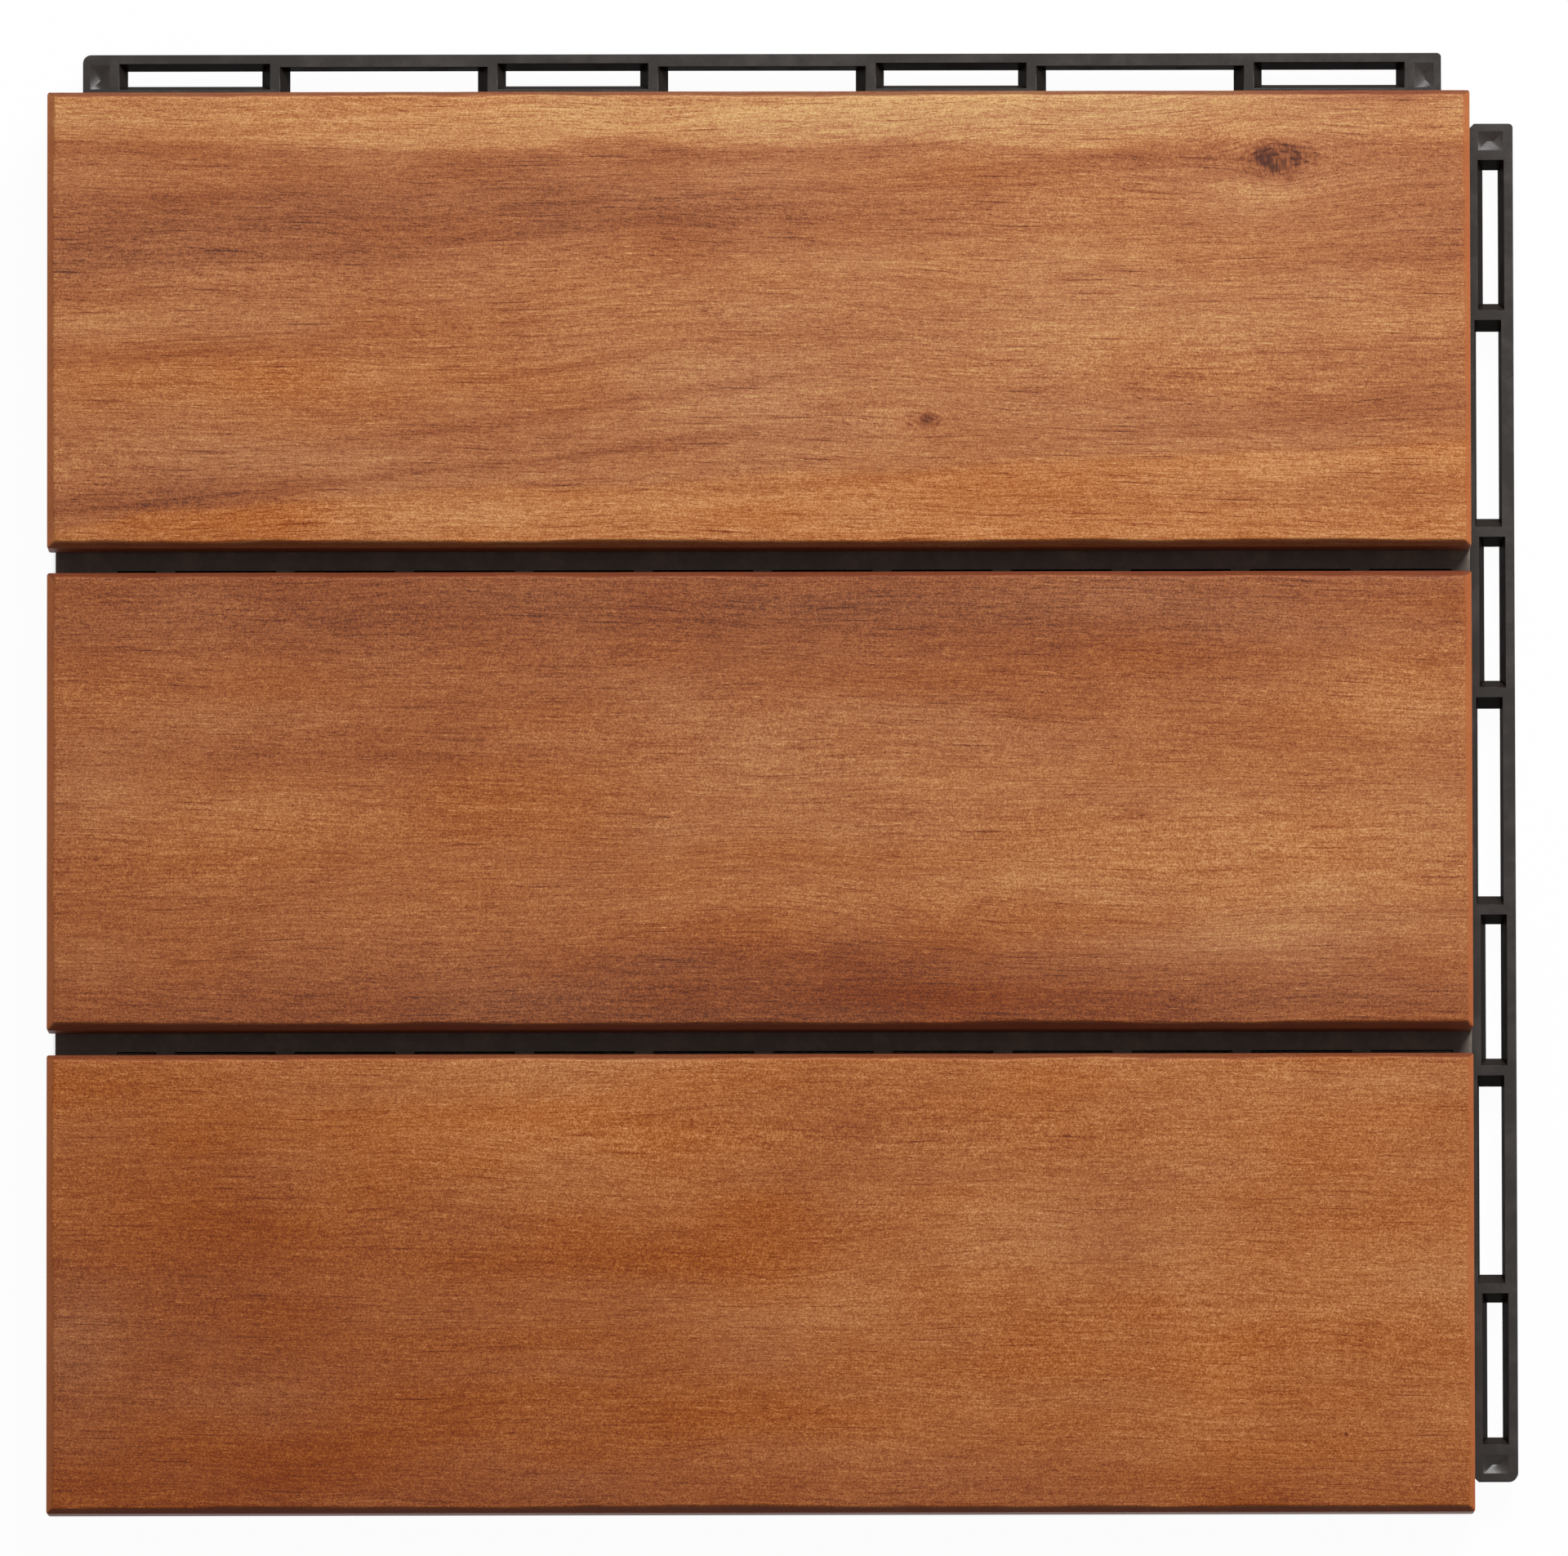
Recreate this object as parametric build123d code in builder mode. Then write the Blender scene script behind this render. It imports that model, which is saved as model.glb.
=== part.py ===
from build123d import *
import os

# Interlocking outdoor floor tile: three hardwood slats screwed to one moulded grid base.
# Millimetres, +Z up. The origin is on the floor under the middle of the base.
# Slats run along X. Socket ladders stand out on +Y and +X, snap pegs hang under -Y and -X.

# Slats
slat_names = ["south_slat", "middle_slat", "north_slat"]
slat_length = 300.0
slat_width = 96.5
slat_gap = 5.25
slat_thickness = 12.0
slat_top_chamfer = 1.4
slat_bottom_chamfer = 0.5

# Base levels, from the floor up
ladder_floor_gap = 4.2
ladder_height = 4.5
ladder_clearance = 0.3
flange_thickness = 3.0

# Rib grid
rib_width = 4.0
rib_depth = 6.0
rib_draft = 2.0
rib_spacing = 25.2
rows_per_slat = 4

# Feet
foot_width = 9.0
foot_draft = 4.0

# Socket ladder: short sockets take the pegs, long windows between them save material
ladder_reach = 9.5
ladder_end_setback = 5.6
ladder_near_radius = 0.9
ladder_far_radius = 1.8
ladder_root_notch = 1.3
ladder_end_wall = 1.6
window_pitch = 40.0
socket_line = 4.8
socket_throat_length = 28.4
socket_throat_width = 3.2
socket_end_flare = 1.75
socket_side_flare = 1.15
window_line = 4.05
window_throat_length = 39.7
window_throat_width = 4.7
window_end_flare = 2.1
window_side_flare = 0.45
dimple_length = 4.0
dimple_width = 5.2
dimple_depth = 1.0
dimple_floor = 0.3

# Snap pegs and the fit between joined tiles
clip_overhang = 1.5
tile_joint = 1.0
ladder_side_clearance = 2.0
peg_clearance = 0.3
peg_tip_chamfer = 0.6
hook_reach = 0.8
hook_height = 1.8
hook_land = 0.5
hook_clearance = 0.15

# Screws
screw_head_diameter = 7.0
screw_head_height = 2.4
screw_shank_diameter = 3.0
screw_cover = 2.5
screw_hole_clearance = 0.5
pilot_clearance = 0.05
cross_recess_length = 3.8
cross_recess_width = 0.9
cross_recess_depth = 1.5

# Levels worked out from the stack
ladder_bottom = ladder_floor_gap
ladder_top = ladder_bottom + ladder_height
flange_bottom = ladder_top + ladder_clearance
base_height = flange_bottom + flange_thickness
rib_bottom = base_height - rib_depth
screw_tip_level = base_height + slat_thickness - screw_cover

# Plan sizes: the slats overhang the two peg sides and stop flush over the two ladder sides
slat_pitch = slat_width + slat_gap
slats_width = slat_pitch * len(slat_names) - slat_gap
base_length = slat_length - clip_overhang
base_width = slats_width - clip_overhang
slat_shift = -clip_overhang / 2

# Fit of a neighbour's ladder under the peg sides
base_edge_gap = tile_joint + clip_overhang
clip_recess = ladder_reach - base_edge_gap + ladder_side_clearance
peg_line = socket_line - base_edge_gap
peg_length = socket_throat_length - 2 * peg_clearance
peg_thickness = socket_throat_width - 2 * peg_clearance

# Open middle of the base, inside the walls
grid_length = base_length - clip_recess - 2 * rib_width
grid_width = base_width - clip_recess - 2 * rib_width
grid_shift = clip_recess / 2

# Rib lines: columns at their own spacing, rows tied to the slats
row_spacing = slat_pitch / rows_per_slat
columns_each_side = int((base_length / 2 - clip_recess - 2 * rib_width) / rib_spacing)
rows_each_side = rows_per_slat * len(slat_names) // 2 - 1
column_lines = [i * rib_spacing for i in range(-columns_each_side, columns_each_side + 1)]
row_lines = [j * row_spacing for j in range(-rows_each_side, rows_each_side + 1)]

# Feet stand under every second crossing. Each slat end is held through the two cells beside its middle row
foot_columns = range(-columns_each_side, columns_each_side + 1, 2)
foot_rows = range(-rows_each_side, rows_each_side + 1, 2)
foot_points = [(0, 0)] + [(i * rib_spacing, j * row_spacing) for i in foot_columns for j in foot_rows]
slat_steps = [row - (len(slat_names) - 1) / 2 for row in range(len(slat_names))]
screw_column = (columns_each_side - 0.5) * rib_spacing
screw_rows = [(step * rows_per_slat + half) * row_spacing for step in slat_steps for half in (-0.5, 0.5)]
screw_points = [(x, y) for x in (-screw_column, screw_column) for y in screw_rows]


def socket_places(side_length):
    """Middles of the short sockets along one side, at odd multiples of the window pitch."""
    end_block = dimple_length + 2 * ladder_end_wall
    last_middle = side_length / 2 - ladder_end_setback - end_block
    last_middle -= socket_throat_length / 2 + socket_end_flare
    pairs = int(last_middle / window_pitch + 1) // 2
    return [odd * window_pitch for odd in range(1 - 2 * pairs, 2 * pairs, 2)]


def ladder_rail(side_length, near_end):
    """Socket ladder along X, standing out from the base edge at y = 0 towards +Y.

    Every window has sloped walls that narrow downwards from its mouth to its throat. The end
    near the other ladder, at +X for near_end = 1 and at -X for near_end = -1, has the small corner.
    """
    rail_length = side_length - 2 * ladder_end_setback
    sockets = socket_places(side_length)
    socket_section = (socket_line, socket_throat_length, socket_throat_width)
    socket_flare = (socket_end_flare, socket_side_flare)
    window_section = (window_line, window_throat_length, window_throat_width)
    window_flare = (window_end_flare, window_side_flare)
    openings = [(middle, *socket_section, *socket_flare) for middle in sockets]
    for left, right in zip(sockets, sockets[1:]):
        openings.append(((left + right) / 2, *window_section, *window_flare))
    with BuildPart() as rail:
        with BuildSketch(Plane.XY.offset(ladder_bottom)) as plan:
            with Locations((0, ladder_reach / 2)):
                Rectangle(rail_length, ladder_reach)
            for end, radius in ((near_end, ladder_near_radius), (-near_end, ladder_far_radius)):
                corners = plan.vertices().group_by(Axis.X)[-1 if end > 0 else 0].sort_by(Axis.Y)
                fillet(corners[-1], radius)
                corners = plan.vertices().group_by(Axis.X)[-1 if end > 0 else 0].sort_by(Axis.Y)
                chamfer(corners[0], ladder_root_notch)
        extrude(amount=ladder_height)
        for middle, line, length, width, end_flare, side_flare in openings:
            with BuildSketch(Plane.XY.offset(ladder_bottom)):
                with Locations((middle, line)):
                    Rectangle(length, width)
            with BuildSketch(Plane.XY.offset(ladder_top)):
                with Locations((middle, line)):
                    Rectangle(length + 2 * end_flare, width + 2 * side_flare)
            loft(mode=Mode.SUBTRACT)
        for side in (-1, 1):
            dimple_middle = side * (rail_length / 2 - ladder_end_wall - dimple_length / 2)
            with BuildSketch(Plane.XY.offset(ladder_top - dimple_depth)):
                with Locations((dimple_middle, socket_line)):
                    Rectangle(dimple_floor, dimple_floor + dimple_width - dimple_length)
            with BuildSketch(Plane.XY.offset(ladder_top)):
                with Locations((dimple_middle, socket_line)):
                    Rectangle(dimple_length, dimple_width)
            loft(mode=Mode.SUBTRACT)
    return rail.part


def peg_row(side_length):
    """Snap pegs along X, hanging under the flange whose edge is at y = 0, hooked on the +Y side."""
    outer = peg_line - peg_thickness / 2
    inner = peg_line + peg_thickness / 2
    hook_top = ladder_bottom - hook_clearance
    tip = hook_top - hook_height
    with BuildPart() as row:
        for middle in socket_places(side_length):
            with BuildSketch(Plane.YZ.offset(middle - peg_length / 2)):
                with BuildLine():
                    Polyline(
                        (outer, flange_bottom),
                        (outer, tip + peg_tip_chamfer),
                        (outer + peg_tip_chamfer, tip),
                        (inner - peg_tip_chamfer, tip),
                        (inner + hook_reach, hook_top - hook_land),
                        (inner + hook_reach, hook_top),
                        (inner, hook_top),
                        (inner, flange_bottom),
                        close=True,
                    )
                make_face()
        extrude(amount=peg_length)
    return row.part


os.makedirs("parts", exist_ok=True)

north_ladder = ladder_rail(base_length, 1)
east_ladder = ladder_rail(base_width, -1)
south_pegs = peg_row(base_length)
west_pegs = peg_row(base_width)

# Moulded base: a top frame over rib-deep walls that are set back under the two peg sides
with BuildPart() as base_grid:
    with BuildSketch(Plane.XY.offset(flange_bottom)):
        Rectangle(base_length, base_width)
        with Locations((grid_shift, grid_shift)):
            Rectangle(grid_length, grid_width, mode=Mode.SUBTRACT)
    extrude(amount=flange_thickness)
    with BuildSketch(Plane.XY.offset(rib_bottom)):
        with Locations((grid_shift, grid_shift)):
            Rectangle(grid_length + 2 * rib_width, grid_width + 2 * rib_width)
            Rectangle(grid_length, grid_width, mode=Mode.SUBTRACT)
    extrude(amount=flange_bottom - rib_bottom)

    # Deeper walls behind the two ladders
    with BuildSketch(Plane.XY.offset(ladder_bottom)):
        with Locations((0, base_width / 2 - rib_width / 2)):
            Rectangle(base_length, rib_width)
        with Locations((base_length / 2 - rib_width / 2, 0)):
            Rectangle(rib_width, base_width)
    extrude(amount=flange_bottom - ladder_bottom)

    # Ribs that thin downwards by the mould's draft, each rooted half a wall deep at both ends
    with BuildSketch(Plane.YZ.offset(grid_shift - (grid_length + rib_width) / 2)):
        with Locations(*[(y, base_height - rib_depth / 2) for y in row_lines]):
            Trapezoid(rib_width, rib_depth, 90 - rib_draft, rotation=180)
    extrude(amount=grid_length + rib_width)
    with BuildSketch(Plane.ZX.offset(grid_shift - (grid_width + rib_width) / 2)):
        with Locations(*[(base_height - rib_depth / 2, x) for x in column_lines]):
            Trapezoid(rib_width, rib_depth, 90 - rib_draft, rotation=90)
    extrude(amount=grid_width + rib_width)

    # Feet that taper to the floor
    with BuildSketch(Plane.XY):
        with Locations(*foot_points):
            Rectangle(foot_width, foot_width)
    extrude(amount=rib_bottom, taper=-foot_draft)

    # Plates that close the screwed cells, as thick as the flange, with a clearance hole each
    with BuildSketch(Plane.XY.offset(flange_bottom)):
        with Locations(*screw_points):
            Rectangle(rib_spacing, row_spacing)
            Circle(screw_shank_diameter / 2 + screw_hole_clearance, mode=Mode.SUBTRACT)
    extrude(amount=flange_thickness)

    # Ladders on the north and east sides, pegs under the south and west sides
    with Locations((0, base_width / 2, 0)):
        add(north_ladder)
    with Locations(Location((base_length / 2, 0, 0), (0, 0, -90))):
        add(east_ladder)
    with Locations((0, -base_width / 2, 0)):
        add(south_pegs)
    with Locations(Location((-base_length / 2, 0, 0), (0, 0, -90))):
        add(west_pegs)
base_grid.part.label = "base_grid"
export_step(base_grid.part, "parts/base_grid.step")

# Slats, chamfered all round the top, with blind pilot holes underneath
for row, slat_name in enumerate(slat_names):
    slat_middle = slat_shift + slat_steps[row] * slat_pitch
    pilot_points = [(x, y) for x, y in screw_points if abs(y - slat_middle) < slat_width / 2]
    with BuildPart() as slat:
        with BuildSketch(Plane.XY.offset(base_height)):
            with Locations((slat_shift, slat_middle)):
                Rectangle(slat_length, slat_width)
        extrude(amount=slat_thickness)
        chamfer(slat.faces().sort_by(Axis.Z)[-1].edges(), slat_top_chamfer)
        chamfer(slat.faces().sort_by(Axis.Z)[0].edges(), slat_bottom_chamfer)
        with BuildSketch(Plane.XY.offset(base_height)):
            with Locations(*pilot_points):
                Circle(screw_shank_diameter / 2 + pilot_clearance)
        extrude(amount=screw_tip_level + pilot_clearance - base_height, mode=Mode.SUBTRACT)
    slat.part.label = slat_name
    export_step(slat.part, f"parts/{slat_name}.step")

# One pan-head screw, point up, with a cross recess in its head
with BuildPart() as screw:
    with BuildSketch(Plane.XZ):
        with BuildLine():
            Polyline(
                (0, flange_bottom - screw_head_height),
                (screw_head_diameter / 2, flange_bottom - screw_head_height),
                (screw_head_diameter / 2, flange_bottom),
                (screw_shank_diameter / 2, flange_bottom),
                (screw_shank_diameter / 2, screw_tip_level),
                (0, screw_tip_level),
                close=True,
            )
        make_face()
    revolve(axis=Axis.Z)
    with BuildSketch(Plane.XY.offset(flange_bottom - screw_head_height)):
        Rectangle(cross_recess_length, cross_recess_width)
        Rectangle(cross_recess_width, cross_recess_length)
    extrude(amount=cross_recess_depth, mode=Mode.SUBTRACT)

# The twelve screws
with BuildPart() as slat_screws:
    with Locations(*screw_points):
        add(screw.part)
slat_screws.part.label = "slat_screws"
export_step(slat_screws.part, "parts/slat_screws.step")
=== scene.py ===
import math
from typing import NamedTuple

import bmesh
import bpy
import numpy as np
from bpy.props import FloatProperty, FloatVectorProperty, PointerProperty
from mathutils import Matrix, Vector


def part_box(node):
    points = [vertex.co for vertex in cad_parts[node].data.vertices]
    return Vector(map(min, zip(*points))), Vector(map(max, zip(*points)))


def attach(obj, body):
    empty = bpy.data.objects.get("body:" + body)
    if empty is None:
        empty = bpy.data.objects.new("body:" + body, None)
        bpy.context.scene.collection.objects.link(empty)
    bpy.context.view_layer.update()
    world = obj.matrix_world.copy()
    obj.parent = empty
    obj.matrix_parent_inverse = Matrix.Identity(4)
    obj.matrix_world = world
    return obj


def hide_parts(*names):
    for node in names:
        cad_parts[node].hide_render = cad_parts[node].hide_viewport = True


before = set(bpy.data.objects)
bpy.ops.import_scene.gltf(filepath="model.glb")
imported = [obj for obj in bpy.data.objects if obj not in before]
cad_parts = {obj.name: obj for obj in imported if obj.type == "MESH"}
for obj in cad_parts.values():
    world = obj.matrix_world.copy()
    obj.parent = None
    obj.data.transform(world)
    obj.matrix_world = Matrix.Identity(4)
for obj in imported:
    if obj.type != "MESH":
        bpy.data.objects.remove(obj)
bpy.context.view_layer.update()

bl_info = {
    "name": "Interlocking Wooden Floor Tile",
    "version": (1, 0, 0),
    "blender": (4, 5, 0),
    "location": "View3D > Sidebar > Floor Tile",
    "description": "Builds a floor tile of three hardwood slats on a moulded grid base",
    "category": "Add Mesh",
}

MM = 0.001
WHITE = (1.0, 1.0, 1.0, 1.0)
LATTICE = 128

# Meshes
SHARP_ANGLE = math.radians(30)
LEVEL_SLACK = 0.01 * MM
GRID_START = 2.2
GRID_STEP_ALONG, GRID_STEP_ACROSS = 1.5 * MM, 0.6 * MM
PILOT_SIDES = 24
PILOT_REST = 0.05 * MM
SCREW_REACH = 5 * MM
EDGE_SLACK = 0.2 * MM
SHADED_MATT = 0.75


def srgb(red, green, blue):
    """A display colour of 0 to 255 per channel as the linear light that shaders take."""
    shares = [channel / 255 for channel in (red, green, blue)]
    return tuple(s / 12.92 if s <= 0.04045 else ((s + 0.055) / 1.055) ** 2.4 for s in shares)


class Patch(NamedTuple):
    """A soft area or streak that lifts a slat's tone or warmth, in millimetres from the slat's middle."""

    along: float
    across: float
    half_length: float
    half_width: float
    lift: float
    slope: float = 0.0


class Knot(NamedTuple):
    """A knot in a slat's top, in millimetres from the slat's middle."""

    along: float
    across: float
    half_length: float
    half_width: float
    depth: float


class Marks(NamedTuple):
    """Length and width of one kind of mark in the wood in millimetres, and its shift from row to row."""

    length: float
    width: float
    stagger: float


class Layer(NamedTuple):
    """One layer of soft noise: its strength, and its length and width in millimetres."""

    lift: float
    length: float
    width: float


class Board(NamedTuple):
    """What one slat's wood looks like: its tone from 0 dark to 1 pale, and the marks that lie in it.

    The sapwood lines are heights across the slat, and a line beyond the slat's edge means no sapwood.
    """

    node: str
    seed: int
    tone: float
    warmth: float
    streaks: float
    fibre: float
    speck: float
    ring_slope: float
    north_sapwood: float
    south_sapwood: float
    patches: tuple
    tints: tuple
    knots: tuple


NORTH_BOARD = Board(
    node="north_slat",
    seed=3,
    tone=0.56,
    warmth=0.0,
    streaks=1.0,
    fibre=1.0,
    speck=1.28,
    ring_slope=0.0525,
    north_sapwood=37.0,
    south_sapwood=-33.5,
    patches=(
        Patch(-83, 23, 95, 10, -0.22),
        Patch(80, 17, 50, 14, 0.16),
        Patch(-134, -1.5, 14, 5, 0.12),
        Patch(-103, -11, 60, 5, 0.12),
        Patch(-134, -36, 45, 6, -0.17, 0.08),
        Patch(72, -7, 40, 5, 0.12),
        Patch(-141, 12, 25, 6, -0.10),
        Patch(130, 46, 26, 2.6, -0.40, -0.04),
        Patch(-114, 13, 34, 1.2, -0.20),
        Patch(-35, 23, 38, 1.1, -0.10),
        Patch(90, 32.5, 20, 1.6, -0.16),
        Patch(107.5, 28, 7, 2.2, 0.14),
        Patch(-130, 42, 45, 9, -0.12),
        Patch(-118, 5.5, 34, 4, -0.10),
        Patch(-64, 24, 14, 4, 0.13),
        Patch(-34, -9, 36, 1.2, -0.22, 0.114),
        Patch(27, -5, 28, 1.2, -0.16, 0.01),
        Patch(-66, -23.5, 32, 1.2, -0.14, 0.15),
        Patch(-16, -16.5, 20, 1.2, -0.20, 0.12),
        Patch(-120, -37.5, 24, 1.2, -0.14, 0.043),
        Patch(-81, -34, 20, 1.1, -0.17, 0.14),
        Patch(-31, -28, 34, 1.3, -0.24, 0.106),
    ),
    tints=(
        Patch(-108, -8.6, 75, 13, 0.6),
        Patch(-107, 43, 60, 8, 0.5),
        Patch(-5, 28.5, 34, 7, -0.5),
        Patch(88, 43, 60, 6, -0.8),
        Patch(6, -16.6, 34, 12, -0.35),
    ),
    knots=(
        Knot(109.5, 33.4, 8.5, 5.8, 0.36),
        Knot(107.0, 34.0, 3.6, 3.0, 0.38),
        Knot(112, 34.0, 3.2, 2.6, 0.20),
        Knot(109, 31.3, 1.7, 1.6, 0.36),
        Knot(36.3, -21.3, 5.0, 2.6, 0.24),
        Knot(35.5, -21.4, 2.6, 2.1, 0.42),
    ),
)
MIDDLE_BOARD = Board(
    node="middle_slat",
    seed=17,
    tone=0.52,
    warmth=0.35,
    streaks=0.5,
    fibre=0.87,
    speck=1.45,
    ring_slope=0.015,
    north_sapwood=99.0,
    south_sapwood=-99.0,
    patches=(
        Patch(-20, 46, 190, 22, -0.34),
        Patch(0, -46, 190, 15, -0.42),
        Patch(139, 25, 30, 14, 0.25),
        Patch(115, -12, 50, 12, 0.20),
        Patch(-125, -1, 40, 5, 0.10),
        Patch(-77, 10, 40, 5, -0.10),
        Patch(80, -3, 4, 2, -0.18),
        Patch(22, -38, 22, 8, -0.10),
        Patch(108, -30, 40, 10, 0.12),
        Patch(-5, 14, 32, 6, 0.12),
        Patch(-102, -9, 50, 8, 0.09),
        Patch(-146, -2, 3, 1, -0.25),
        Patch(45, -8, 90, 24, 0.13),
    ),
    tints=(
        Patch(-108, 0.5, 40, 8, 0.55),
        Patch(-40, 4, 40, 6, 0.15),
        Patch(54, 41.4, 60, 7, -0.6),
        Patch(35, -42.3, 45, 4, 0.8),
        Patch(90, -31.7, 28, 6, -0.6),
    ),
    knots=(),
)
SOUTH_BOARD = Board(
    node="south_slat",
    seed=41,
    tone=0.60,
    warmth=1.0,
    streaks=0.35,
    fibre=0.72,
    speck=1.48,
    ring_slope=-0.02,
    north_sapwood=99.0,
    south_sapwood=-99.0,
    patches=(
        Patch(-120, -20, 90, 45, -0.26),
        Patch(-44, 30, 40, 14, 0.20),
        Patch(16, 28, 18, 15, -0.12),
        Patch(51, 9, 16, 11, 0.08),
        Patch(102, 35, 48, 8, 0.10),
        Patch(76, 13, 9, 22, -0.10),
        Patch(98, -19, 7, 10, 0.10),
        Patch(15, -2, 18, 14, 0.12),
        Patch(110, 0, 70, 40, 0.12),
        Patch(0, -46, 170, 8, -0.19),
        Patch(0, 48, 170, 7, 0.10),
    ),
    tints=(
        Patch(-42, 35.5, 42, 8, 0.6),
        Patch(-4, 9.8, 36, 10, 0.4),
        Patch(85, 14.6, 24, 22, -0.5),
        Patch(-91, -33.7, 30, 7, 0.5),
        Patch(96, -22.5, 12, 11, 0.4),
        Patch(-144, -14.4, 10, 20, -0.8),
    ),
    knots=(Knot(123, -32, 0.8, 0.7, 0.8),),
)
BOARDS = (NORTH_BOARD, MIDDLE_BOARD, SOUTH_BOARD)

# Fine marks in the wood's finish
STREAKS = Marks(34, 1.1, 11.7)
FIBRES = Marks(9, 0.42, 8.1)
PORES = Marks(2.4, 0.24, 3.8)
VEINS = Marks(18, 0.5, 13.7)
SPECK_SIZE = 0.3
SPECK_TURN = (0.84, 0.54)
SWIRL_SIZE = 2.4
STREAK_LIFT = 0.45
PORE_DROP, STREAKED_PORE_DROP = 0.3, 0.14
FLECK_LIFT = 0.34
VEIN_DROP, STREAKED_VEIN_DROP = 0.3, 0.25
KNOT_SWIRL = 1.3
BOARD_STEP = 7.0

# Broad soft noise in the wood, whose layers take one seed after the other
DRIFT_LAYERS = (Layer(2.2, 75, 22), Layer(0.8, 24, 9))
RING_LAYERS = (Layer(1.0, 150, 5.0), Layer(0.6, 60, 2.2))
MOTTLE_LAYERS = (Layer(1.0, 9, 16), Layer(1.0, 22, 12))
SAPWOOD_LAYERS = (Layer(1.5, 30, math.inf), Layer(0.6, 8, 8))
WARMTH_LAYERS = (Layer(0.4, 55, 14), Layer(0.3, 20, 6))
EDGE_LAYERS = (Layer(1.0, 17, math.inf), Layer(0.5, 6, math.inf))
RING_LIFT = 0.11
MOTTLE_LIFT = 0.035
NORTH_SAPWOOD_LIFT, SOUTH_SAPWOOD_LIFT = 0.29, 0.24
SAPWOOD_BLUR = 1.2

# Marks in the plastic and the zinc, in millimetres
CLOUD_SIZE = 7
MOULD_GRAIN = 0.35
TARNISH_SIZE = 1.6
TURNING_LENGTH, TURNING_PITCH = 2.0, 0.08


class SlatSettings(bpy.types.PropertyGroup):
    """Sizes of a slat's edges and pilot holes."""

    chamfer: FloatProperty(
        name="Chamfer", description="Reach of the chamfer round the top", default=1.4 * MM, unit="LENGTH"
    )
    corner_radius: FloatProperty(
        name="Corner Radius",
        description="Radius of the slat's corners in plan",
        default=0.5 * MM,
        unit="LENGTH",
    )
    bottom_ease: FloatProperty(
        name="Bottom Ease", description="Bevel along the bottom edge", default=0.5 * MM, unit="LENGTH"
    )
    sanding_wave: FloatProperty(
        name="Sanding Wave", description="Share by which the chamfer widens and narrows", default=0.16
    )
    pilot_radius: FloatProperty(
        name="Pilot Radius", description="Radius of the screws' pilot holes", default=1.55 * MM, unit="LENGTH"
    )


class WoodSettings(bpy.types.PropertyGroup):
    """Colours of the wood, from its darkest to its palest tone, plain and warm, and the painted shade of the
    long sides.
    """

    plain_deep: FloatVectorProperty(
        name="Plain Deep", description="Pores of the plain wood", subtype="COLOR", default=srgb(72, 32, 16)
    )
    plain_dark: FloatVectorProperty(
        name="Plain Dark", description="Dark plain heartwood", subtype="COLOR", default=srgb(113, 57, 28)
    )
    plain_red: FloatVectorProperty(
        name="Plain Red", description="Reddish plain heartwood", subtype="COLOR", default=srgb(147, 83, 45)
    )
    plain_orange: FloatVectorProperty(
        name="Plain Orange", description="Middle plain heartwood", subtype="COLOR", default=srgb(172, 109, 65)
    )
    plain_gold: FloatVectorProperty(
        name="Plain Gold", description="Pale plain sapwood", subtype="COLOR", default=srgb(198, 146, 92)
    )
    plain_pale: FloatVectorProperty(
        name="Plain Pale", description="Palest plain flecks", subtype="COLOR", default=srgb(218, 175, 119)
    )
    warm_deep: FloatVectorProperty(
        name="Warm Deep", description="Pores of the warm wood", subtype="COLOR", default=srgb(70, 28, 8)
    )
    warm_dark: FloatVectorProperty(
        name="Warm Dark", description="Dark warm heartwood", subtype="COLOR", default=srgb(108, 44, 10)
    )
    warm_red: FloatVectorProperty(
        name="Warm Red", description="Reddish warm heartwood", subtype="COLOR", default=srgb(136, 68, 25)
    )
    warm_orange: FloatVectorProperty(
        name="Warm Orange", description="Middle warm heartwood", subtype="COLOR", default=srgb(165, 95, 44)
    )
    warm_gold: FloatVectorProperty(
        name="Warm Gold", description="Pale warm wood", subtype="COLOR", default=srgb(194, 131, 78)
    )
    warm_pale: FloatVectorProperty(
        name="Warm Pale", description="Palest warm flecks", subtype="COLOR", default=srgb(217, 164, 114)
    )
    # Painted shade: a dark colour for the long chamfers and sides, standing in for the shade between the
    # slats.
    painted_side_shade: FloatVectorProperty(
        name="Painted Side Shade",
        description="Painted shade on the long chamfers and sides",
        subtype="COLOR",
        default=srgb(96, 40, 20),
    )
    end_stain: FloatVectorProperty(
        name="End Stain", description="Red oil on the end grain", subtype="COLOR", default=srgb(180, 98, 52)
    )


class PlasticSettings(bpy.types.PropertyGroup):
    """Finish of the moulded base."""

    colour: FloatVectorProperty(
        name="Plastic", description="Black of the moulding", subtype="COLOR", default=srgb(36, 30, 27)
    )
    bloom: FloatVectorProperty(
        name="Bloom", description="Grey of the worn mottle", subtype="COLOR", default=srgb(50, 44, 41)
    )
    dust: FloatVectorProperty(
        name="Dust",
        description="Dust that lies on the base between the slats",
        subtype="COLOR",
        default=srgb(150, 140, 130),
    )
    edge_round: FloatProperty(
        name="Edge Round", description="Reach of the ladders' rounded rims", default=0.3 * MM, unit="LENGTH"
    )


class ScrewSettings(bpy.types.PropertyGroup):
    """Finish of the screws."""

    zinc: FloatVectorProperty(
        name="Zinc", description="Colour of the plated steel", subtype="COLOR", default=srgb(196, 196, 190)
    )


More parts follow.
